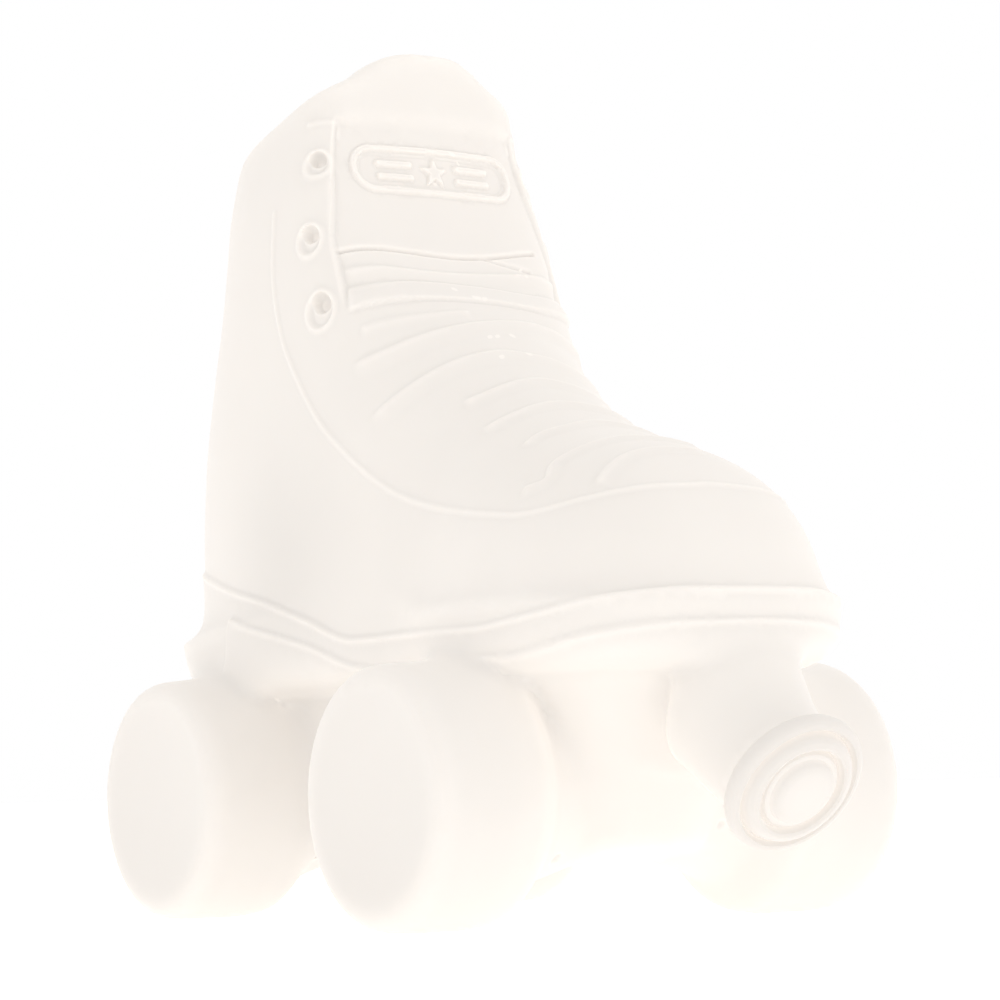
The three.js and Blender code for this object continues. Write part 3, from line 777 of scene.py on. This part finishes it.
def plate(name, length, width, corner, centre, levels):
    """A rounded plate through (height, growth) levels."""
    points, faces = [], []
    for height, grow in levels:
        points += plate_outline(length + 2 * grow, width + 2 * grow, corner + grow, centre, height)
    count = len(points) // len(levels)
    for level in range(len(levels) - 1):
        for i in range(count):
            j = (i + 1) % count
            low, high = level * count, (level + 1) * count
            faces.append([low + i, low + j, high + j, high + i])
    faces.append(list(range(count))[::-1])
    faces.append([(len(levels) - 1) * count + i for i in range(count)])
    return mesh_object(name, points, faces)


def smooth(piece, angle=math.radians(35)):
    mesh = piece.data
    mesh.shade_smooth()
    with bpy.context.temp_override(object=piece, active_object=piece, selected_editable_objects=[piece]):
        bpy.ops.object.shade_smooth_by_angle(angle=angle)


# The stop's face steps outwards in rings to a central disc, as (radius, reach) points.
STOP_PROFILE = [
    (0, 4.9), (2.5, 4.85), (5.0, 4.7), (6.4, 4.4), (7.1, 3.9), (7.35, 3.3), (7.6, 2.8), (8.6, 2.6),
    (9.1, 1.6), (9.5, 1.2), (9.75, 2.2), (10.0, 3.2), (10.6, 3.5), (11.4, 3.3), (12.1, 2.8),
    (12.55, 1.9), (12.8, 0.6), (13.2, 0.1), (13.5, 1.0), (14.0, 1.8), (14.8, 1.7), (15.5, 1.2),
    (15.9, 0.4), (16.0, -0.6), (15.7, -1.7), (14.9, -2.6), (13.6, -3.0), (10, -3.0), (0, -3.0),
]


def screw_places():
    return [(MODULE_X + sx * SCREW_X, sy * SCREW_Y) for sx in (1, -1) for sy in (1, -1)]


def skate_shell():
    """The moulded surface with its stop, hollowed, with a pocket, a hatch opening and screw bosses."""
    points, faces = skate_surface()
    shell = mesh_object("moulded_shell", points, faces)
    disc = [(radius * STOP_SCALE, reach) for radius, reach in STOP_PROFILE]
    combine(shell, lathe("stop_disc", disc, STOP_CENTRE, STOP_AXIS), "UNION")
    points, quads = surface_nets(cavity, GRID_LOW, GRID_HIGH, CAVITY_STEP)
    combine(shell, mesh_object("hollow", points, quads), "DIFFERENCE")
    up = (0, 0, 1)
    for x, y in screw_places():
        boss = [(0, 0), (SCREW_BOSS_R, 0), (SCREW_BOSS_R, SCREW_BOSS_TOP - POCKET_TOP - 0.4),
                (SCREW_BOSS_R - 0.4, SCREW_BOSS_TOP - POCKET_TOP), (0, SCREW_BOSS_TOP - POCKET_TOP)]
        combine(shell, lathe("boss", boss, (x, y, POCKET_TOP), up, 32), "UNION")
    levels = [(BODY_BOTTOM - 2, 2.5), (BODY_BOTTOM, 0.5), (BODY_BOTTOM + 0.15, 0.15), (BODY_BOTTOM + 0.5, 0),
              (POCKET_TOP, 0)]
    combine(shell, plate("pocket", *POCKET, (MODULE_X, 0), levels), "DIFFERENCE")
    levels = [(BODY_BOTTOM, 0), (LEDGE_TOP + 1, 0)]
    combine(shell, plate("hatch", *HATCH, (MODULE_X, 0), levels), "DIFFERENCE")
    for x, y in screw_places():
        bore = [(0, 0), (SCREW_BORE_R, 0), (SCREW_BORE_R, SCREW_BOSS_TOP - 1 - BODY_BOTTOM),
                (0, SCREW_BOSS_TOP - 1 - BODY_BOTTOM)]
        combine(shell, lathe("bore", bore, (x, y, BODY_BOTTOM), up, 24), "DIFFERENCE")
    shape = bmesh.new()
    shape.from_mesh(shell.data)
    bmesh.ops.remove_doubles(shape, verts=shape.verts, dist=MERGE_DISTANCE * MM)
    shape.to_mesh(shell.data)
    shape.free()
    shell.data.materials.clear()
    return shell


shell = skate_shell()
smooth(shell)
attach(shell, "lamp")
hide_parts("skate_shell")


# ---------------------------------------------------------------- materials
# The shell's two colours, the light it lets through, painted shade at the ankle and painted shade in the
# eyelet holes.
SHELL_DIM = (0.56, 0.53, 0.50)
SHELL_CLEAR = (0.575, 0.545, 0.515)
SHELL_GLOW = (0.338, 0.320, 0.299)
SHADE_CENTRE = (-0.040, 0, 0.089)
SHADE_REACH = 0.042
SHADE_LEVEL = 0.92
HOLE_PAINTED_SHADE = 0.82
# Painted light gathers in the front truck, and the boot above the sole is painted a little lighter than the
# wheels.
LAMP_CENTRE = (0.045, 0, 0.044)
LAMP_NEAR, LAMP_FAR = 0.022, 0.070
LAMP_LEVEL = 1.07
SOLE_LOW, SOLE_HIGH = 0.055, 0.078
BOOT_PAINTED_LIGHT = 1.028


def node(tree, kind, inputs=None, **settings):
    made = tree.nodes.new(kind)
    for key, value in settings.items():
        setattr(made, key, value)
    for key, value in (inputs or {}).items():
        if hasattr(value, "is_output"):
            tree.links.new(value, made.inputs[key])
        else:
            made.inputs[key].default_value = value
    return made


def distance(tree, place, centre):
    return node(tree, "ShaderNodeVectorMath", {0: place, 1: centre}, operation="DISTANCE").outputs["Value"]


def shell_material():
    """Milky plastic, with painted highlights on raised edges and painted shade in creases."""
    material = bpy.data.materials.new("milky_shell")
    material.use_nodes = True
    tree = material.node_tree
    shader = tree.nodes["Principled BSDF"]
    place = node(tree, "ShaderNodeTexCoord").outputs["Object"]
    clouds = node(tree, "ShaderNodeTexNoise", {"Vector": place, "Scale": 28.0, "Detail": 3.0})
    grain = node(tree, "ShaderNodeTexNoise", {"Vector": place, "Scale": 2600.0, "Detail": 2.0})
    tint = node(tree, "ShaderNodeValToRGB", {"Fac": clouds.outputs["Fac"]})
    tint.color_ramp.elements[0].position = 0.3
    tint.color_ramp.elements[0].color = (*SHELL_DIM, 1)
    tint.color_ramp.elements[1].position = 0.7
    tint.color_ramp.elements[1].color = (*SHELL_CLEAR, 1)
    bend = node(tree, "ShaderNodeNewGeometry").outputs["Pointiness"]
    # Painted highlights on raised edges and painted shade in creases, from the surface's pointiness.
    edges = node(tree, "ShaderNodeMapRange", {
        "Value": bend, "From Min": 0.42, "From Max": 0.55, "To Min": 0.84, "To Max": 1.043,
    })
    across = node(tree, "ShaderNodeVectorMath", {0: place, 1: (1, 0, 1)}, operation="MULTIPLY")
    height = node(tree, "ShaderNodeSeparateXYZ", {"Vector": place}).outputs["Z"]
    mirrored = node(tree, "ShaderNodeVectorMath", {0: place}, operation="ABSOLUTE").outputs["Vector"]
    zones = [
        # Painted shade at the ankle.
        (distance(tree, across.outputs["Vector"], SHADE_CENTRE), 0, SHADE_REACH, SHADE_LEVEL, 1),
        # A painted pool of light in the front truck.
        (distance(tree, place, LAMP_CENTRE), LAMP_NEAR, LAMP_FAR, LAMP_LEVEL, 1),
        # The boot painted lighter above the sole.
        (height, SOLE_LOW, SOLE_HIGH, 1, BOOT_PAINTED_LIGHT),
    ]
    # Painted shade deep in each eyelet hole.
    for ex, ey, ez, radius in EYELETS:
        hole = (-ex * MM, -ey * MM, (ez + HOLE_LIFT * radius) * MM)
        zones.append((distance(tree, mirrored, hole), 0.35 * radius * MM, 0.62 * radius * MM, HOLE_PAINTED_SHADE, 1))
    level = edges.outputs["Result"]
    for value, low, high, start, end in zones:
        zone = node(tree, "ShaderNodeMapRange", {
            "Value": value, "From Min": low, "From Max": high, "To Min": start, "To Max": end,
        }, interpolation_type="SMOOTHSTEP").outputs["Result"]
        level = node(tree, "ShaderNodeMath", {0: level, 1: zone}, operation="MULTIPLY").outputs["Value"]
    shade = node(tree, "ShaderNodeVectorMath", {0: tint.outputs["Color"], 1: level}, operation="MULTIPLY")
    rough = node(tree, "ShaderNodeMapRange", {"Value": clouds.outputs["Fac"], "To Min": 0.46, "To Max": 0.58})
    bump = node(tree, "ShaderNodeBump", {
        "Height": grain.outputs["Fac"], "Strength": 0.08, "Distance": 0.1 * MM,
    })
    # The glow carries the same painted highlights, light and shade as the colour.
    glow = node(tree, "ShaderNodeVectorMath", {0: SHELL_GLOW, 1: level}, operation="MULTIPLY")
    tree.links.new(shade.outputs["Vector"], shader.inputs["Base Color"])
    tree.links.new(glow.outputs["Vector"], shader.inputs["Emission Color"])
    shader.inputs["Emission Strength"].default_value = 1.0
    tree.links.new(rough.outputs["Result"], shader.inputs["Roughness"])
    tree.links.new(bump.outputs["Normal"], shader.inputs["Normal"])
    shader.inputs["IOR"].default_value = 1.42
    shader.inputs["Subsurface Weight"].default_value = 0.25
    shader.inputs["Subsurface Radius"].default_value = (1.0, 0.85, 0.7)
    shader.inputs["Subsurface Scale"].default_value = 0.002
    return material


# Colour, its variation, roughness, metal, grain frequency, grain depth in mm and stretch of the grain.
FINISHES = {
    "cover": ((0.80, 0.77, 0.72), 0.04, 0.55, 0, 1500, 0.03, (1, 1, 1)),
    "gasket": ((0.60, 0.59, 0.56), 0.06, 0.75, 0, 900, 0.02, (1, 1, 1)),
    "screw": ((0.66, 0.65, 0.63), 0.10, 0.32, 1, 700, 0.006, (1, 1, 0.08)),
    "board": ((0.84, 0.85, 0.83), 0.05, 0.35, 0, 260, 0.02, (1, 0.15, 1)),
    "led": ((0.86, 0.80, 0.45), 0.12, 0.28, 0, 1200, 0.02, (1, 1, 1)),
    "chip": ((0.022, 0.022, 0.025), 0.3, 0.5, 0, 2400, 0.01, (1, 1, 1)),
    "diffuser": ((0.90, 0.89, 0.86), 0.03, 0.62, 0, 1700, 0.03, (1, 1, 1)),
    "cell": ((0.50, 0.53, 0.56), 0.10, 0.36, 0.6, 240, 0.12, (1, 0.4, 1)),
    "foam": ((0.028, 0.028, 0.03), 0.4, 0.95, 0, 1600, 0.2, (1, 1, 1)),
    "connector": ((0.82, 0.79, 0.71), 0.05, 0.5, 0, 1300, 0.015, (1, 1, 1)),
    "lead_red": ((0.45, 0.02, 0.02), 0.15, 0.5, 0, 1000, 0.02, (0.2, 1, 1)),
    "lead_black": ((0.015, 0.015, 0.015), 0.3, 0.5, 0, 1000, 0.02, (0.2, 1, 1)),
    "switch": ((0.035, 0.035, 0.038), 0.25, 0.5, 0, 1800, 0.01, (1, 1, 1)),
    "soft_button": ((0.66, 0.64, 0.60), 0.05, 0.68, 0, 2000, 0.02, (1, 1, 1)),
    "socket": ((0.62, 0.63, 0.65), 0.08, 0.27, 1, 800, 0.005, (1, 0.1, 1)),
    "soft_plug": ((0.66, 0.64, 0.60), 0.05, 0.70, 0, 2000, 0.02, (1, 1, 1)),
}


def finish(name):
    """A grained material whose colour and roughness drift a little across the piece."""
    colour, change, roughness, metal, frequency, depth, stretch = FINISHES[name]
    material = bpy.data.materials.new(name)
    material.use_nodes = True
    tree = material.node_tree
    shader = tree.nodes["Principled BSDF"]
    place = node(tree, "ShaderNodeTexCoord").outputs["Object"]
    drift = node(tree, "ShaderNodeTexNoise", {"Vector": place, "Scale": 160.0, "Detail": 4.0})
    spread = node(tree, "ShaderNodeMapping", {"Vector": place, "Scale": stretch})
    grain = node(tree, "ShaderNodeTexNoise", {
        "Vector": spread.outputs["Vector"], "Scale": frequency, "Detail": 3.0,
    })
    tint = node(tree, "ShaderNodeValToRGB", {"Fac": drift.outputs["Fac"]})
    tint.color_ramp.elements[0].position = 0.3
    tint.color_ramp.elements[0].color = (*[c * (1 - change) for c in colour], 1)
    tint.color_ramp.elements[1].position = 0.7
    tint.color_ramp.elements[1].color = (*[min(c * (1 + change), 1) for c in colour], 1)
    rough = node(tree, "ShaderNodeMapRange", {
        "Value": grain.outputs["Fac"], "To Min": roughness - 0.07, "To Max": roughness + 0.05,
    })
    bump = node(tree, "ShaderNodeBump", {
        "Height": grain.outputs["Fac"], "Strength": 0.5, "Distance": depth * MM,
    })
    tree.links.new(tint.outputs["Color"], shader.inputs["Base Color"])
    tree.links.new(rough.outputs["Result"], shader.inputs["Roughness"])
    tree.links.new(bump.outputs["Normal"], shader.inputs["Normal"])
    shader.inputs["Metallic"].default_value = metal
    return material


shell.data.materials.append(shell_material())
SLOTS = {row["node"]: row["material_slot"] for row in frame["record"]["subparts"]}
MADE = {name: finish(name) for name in FINISHES}
BEVEL_WIDTHS = {f"base_screw_{i}": 0.1 for i in range(1, 5)}
for name in ("base_cover", "power_button", "port_plug", "plug_anchor"):
    BEVEL_WIDTHS[name] = 0.18


def bevelled(name, width):
    """A finer copy of a CAD node, with its edges rounded."""
    source = frame["nodes"][name]
    mesh = bpy.data.meshes.new(f"{name}_finished")
    shape = bmesh.new()
    shape.from_mesh(source.data)
    bmesh.ops.remove_doubles(shape, verts=shape.verts, dist=1e-6)
    bmesh.ops.dissolve_limit(shape, angle_limit=math.radians(2), verts=shape.verts, edges=shape.edges)
    shape.to_mesh(mesh)
    shape.free()
    piece = bpy.data.objects.new(f"{name}_finished", mesh)
    bpy.context.scene.collection.objects.link(piece)
    bevel = piece.modifiers.new("bevel", "BEVEL")
    bevel.width = width * MM
    bevel.segments = 2
    bevel.limit_method = "ANGLE"
    bevel.angle_limit = math.radians(40)
    bpy.context.view_layer.objects.active = piece
    with bpy.context.temp_override(object=piece, active_object=piece):
        bpy.ops.object.modifier_apply(modifier=bevel.name)
    smooth(piece)
    mesh.materials.clear()
    mesh.materials.append(MADE[SLOTS[name]])
    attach(piece, source["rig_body"])
    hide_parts(name)


for name, source in frame["nodes"].items():
    if name == "skate_shell":
        continue
    if name in BEVEL_WIDTHS:
        bevelled(name, BEVEL_WIDTHS[name])
    else:
        source.data.materials.clear()
        source.data.materials.append(MADE[SLOTS[name]])


# ---------------------------------------------------------------- floor, light and camera
BRIGHT_WAY = (0.1, 0.55, -0.35)
DIM_SKY = 0.8
KEY_AZIMUTH, KEY_ELEVATION = 95, 20
KEY_DISTANCE, KEY_SIZE, KEY_POWER = 1.2, 0.9, 0.5
FLOOR_RADIUS = 4.0
FLOOR_GREY = 0.93
FLOOR_GLOW = 0.42
CAMERA_PLACE = (0.64687, -0.42999, 0.03621)
CAMERA_RIGHT = (0.5509, 0.8342, -0.0248)
CAMERA_UP = (0.083, -0.0252, 0.9962)
CAMERA_LENS = 115.2


def floor():
    """A pale disc, clear from below so that the underside can be seen."""
    mesh = bpy.data.meshes.new("floor")
    piece = bpy.data.objects.new("floor", mesh)
    bpy.context.scene.collection.objects.link(piece)
    shape = bmesh.new()
    bmesh.ops.create_circle(shape, cap_ends=True, segments=64, radius=FLOOR_RADIUS)
    shape.to_mesh(mesh)
    shape.free()
    material = bpy.data.materials.new("pale_floor")
    material.use_nodes = True
    tree = material.node_tree
    shader = tree.nodes["Principled BSDF"]
    place = node(tree, "ShaderNodeTexCoord").outputs["Object"]
    noise = node(tree, "ShaderNodeTexNoise", {"Vector": place, "Scale": 60.0, "Detail": 4.0})
    rough = node(tree, "ShaderNodeMapRange", {"Value": noise.outputs["Fac"], "To Min": 0.7, "To Max": 0.8})
    tree.links.new(rough.outputs["Result"], shader.inputs["Roughness"])
    shader.inputs["Base Color"].default_value = (FLOOR_GREY, FLOOR_GREY, FLOOR_GREY, 1)
    shader.inputs["Specular IOR Level"].default_value = 0.1
    shader.inputs["Emission Color"].default_value = (1, 1, 1, 1)
    shader.inputs["Emission Strength"].default_value = FLOOR_GLOW
    under = node(tree, "ShaderNodeNewGeometry").outputs["Backfacing"]
    clear = node(tree, "ShaderNodeBsdfTransparent")
    seen = node(tree, "ShaderNodeMixShader", {0: under, 1: shader.outputs["BSDF"], 2: clear.outputs["BSDF"]})
    tree.links.new(seen.outputs["Shader"], tree.nodes["Material Output"].inputs["Surface"])
    mesh.materials.append(material)


def area_light(name, azimuth, elevation, away, size, power, target=(0, 0, 0.1)):
    """A round light that faces the target, from its -Y side at azimuth 0 and its +X side at 90."""
    light = bpy.data.lights.new(name, "AREA")
    light.shape = "DISK"
    light.size = size
    light.energy = power
    piece = bpy.data.objects.new(name, light)
    turn, lift = math.radians(azimuth), math.radians(elevation)
    way = Vector((math.sin(turn) * math.cos(lift), -math.cos(turn) * math.cos(lift), math.sin(lift)))
    piece.location = Vector(target) + way * away
    piece.rotation_euler = way.to_track_quat("Z", "Y").to_euler()
    bpy.context.scene.collection.objects.link(piece)


def studio():
    """A white surround, dimmer overhead and on the right, and a wide soft key light low at the toe."""
    world = bpy.data.worlds.new("studio")
    bpy.context.scene.world = world
    world.use_nodes = True
    tree = world.node_tree
    background = tree.nodes["Background"]
    way = node(tree, "ShaderNodeTexCoord").outputs["Generated"]
    towards = node(tree, "ShaderNodeVectorMath", {0: way, 1: BRIGHT_WAY}, operation="DOT_PRODUCT")
    shade = node(tree, "ShaderNodeMapRange", {
        "Value": towards.outputs["Value"],
        "From Min": -0.7, "From Max": 0.0, "To Min": DIM_SKY, "To Max": 1.0,
    })
    tree.links.new(shade.outputs["Result"], background.inputs["Color"])
    background.inputs["Strength"].default_value = 1.0
    area_light("key", KEY_AZIMUTH, KEY_ELEVATION, KEY_DISTANCE, KEY_SIZE, KEY_POWER)
    view = bpy.context.scene.view_settings
    view.view_transform = "Standard"
    view.look = "None"


def camera():
    lens = bpy.data.cameras.new("camera")
    lens.sensor_width = 36
    lens.lens = CAMERA_LENS
    lens.clip_start = 0.01
    piece = bpy.data.objects.new("camera", lens)
    right = Vector(CAMERA_RIGHT)
    up = Vector(CAMERA_UP)
    back = right.cross(up).normalized()
    turn = Matrix((right, up, back)).transposed().to_4x4()
    piece.matrix_world = Matrix.Translation(Vector(CAMERA_PLACE)) @ turn
    bpy.context.scene.collection.objects.link(piece)
    bpy.context.scene.camera = piece


floor()
studio()
camera()
